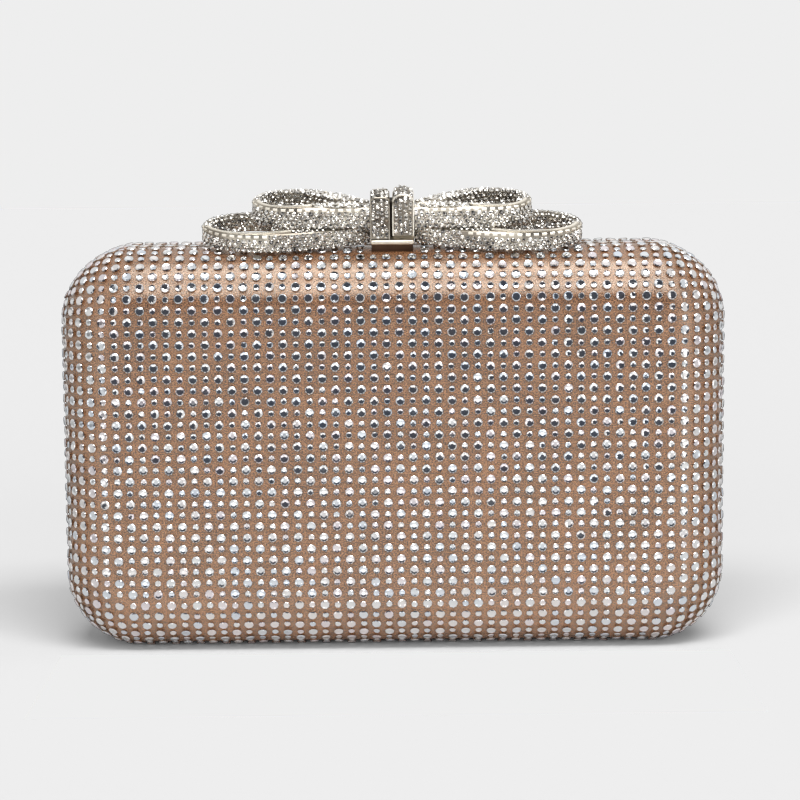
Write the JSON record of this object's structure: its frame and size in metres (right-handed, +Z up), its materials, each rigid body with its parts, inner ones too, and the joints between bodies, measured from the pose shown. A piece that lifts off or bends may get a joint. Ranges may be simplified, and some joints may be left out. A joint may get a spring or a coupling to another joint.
{
  "type": "evening bag",
  "caption": "Hard box clutch covered in satin and clear stones, hinged along its bottom seam, with a stone-set bow on top whose knot holds the press lock.",
  "frame": {"origin": "on the surface the bag stands on, under the middle of the case", "axes": "+X along the bag to the right as seen from the front, -Y to the front, +Z up"},
  "size_m": [0.2, 0.052, 0.1395],
  "materials": {
    "satin": "tan satin set with clear faceted stones",
    "board": "plain moulded shell",
    "lining": "smooth satin",
    "metal": "bright pale champagne plating",
    "pave": "pale plating set with rows of small clear stones",
    "spring": "plain spring steel"
  },
  "bodies": {
    "rear_half": {"rear_cover": "satin", "rear_shell": "board", "rear_lining": "lining", "rear_frame": "metal", "rear_hinge_leaf_left": "metal", "rear_hinge_leaf_right": "metal", "rear_hinge_rivet_left_1": "metal", "rear_hinge_rivet_left_2": "metal", "rear_hinge_rivet_right_1": "metal", "rear_hinge_rivet_right_2": "metal", "hinge_pin_left": "metal", "hinge_pin_right": "metal", "striker_tongue": "metal", "tongue_rivet_left": "metal", "tongue_rivet_right": "metal"},
    "front_half": {"front_cover": "satin", "front_shell": "board", "front_lining": "lining", "front_frame": "metal", "front_hinge_leaf_left": "metal", "front_hinge_leaf_right": "metal", "front_hinge_rivet_left_1": "metal", "front_hinge_rivet_left_2": "metal", "front_hinge_rivet_right_1": "metal", "front_hinge_rivet_right_2": "metal", "bow_plate": "metal", "bow_core": "metal", "fixed_knot": "pave", "lower_left_loop": "pave", "lower_right_loop": "pave", "upper_left_loop": "pave", "upper_right_loop": "pave", "bow_rivet_left": "metal", "bow_rivet_right": "metal", "catch_box": "metal", "catch_spring": "spring", "catch_rivet_left": "metal", "catch_rivet_right": "metal"},
    "release_button": {"release_button": "pave"}
  },
  "joints": [
    {"name": "case_hinge", "type": "hinge", "parent": "rear_half", "child": "front_half", "pos_m": [0, 0, 0.0016], "axis": [1, 0, 0], "range_deg": [0, 75], "deforming": ["catch_spring"]},
    {"name": "button_press", "type": "slide", "parent": "front_half", "child": "release_button", "axis": [0, 0.3256, -0.9455], "range_m": [0, 0.0012], "stiffness_N_per_m": 400, "deforming": ["catch_spring"]}
  ]
}
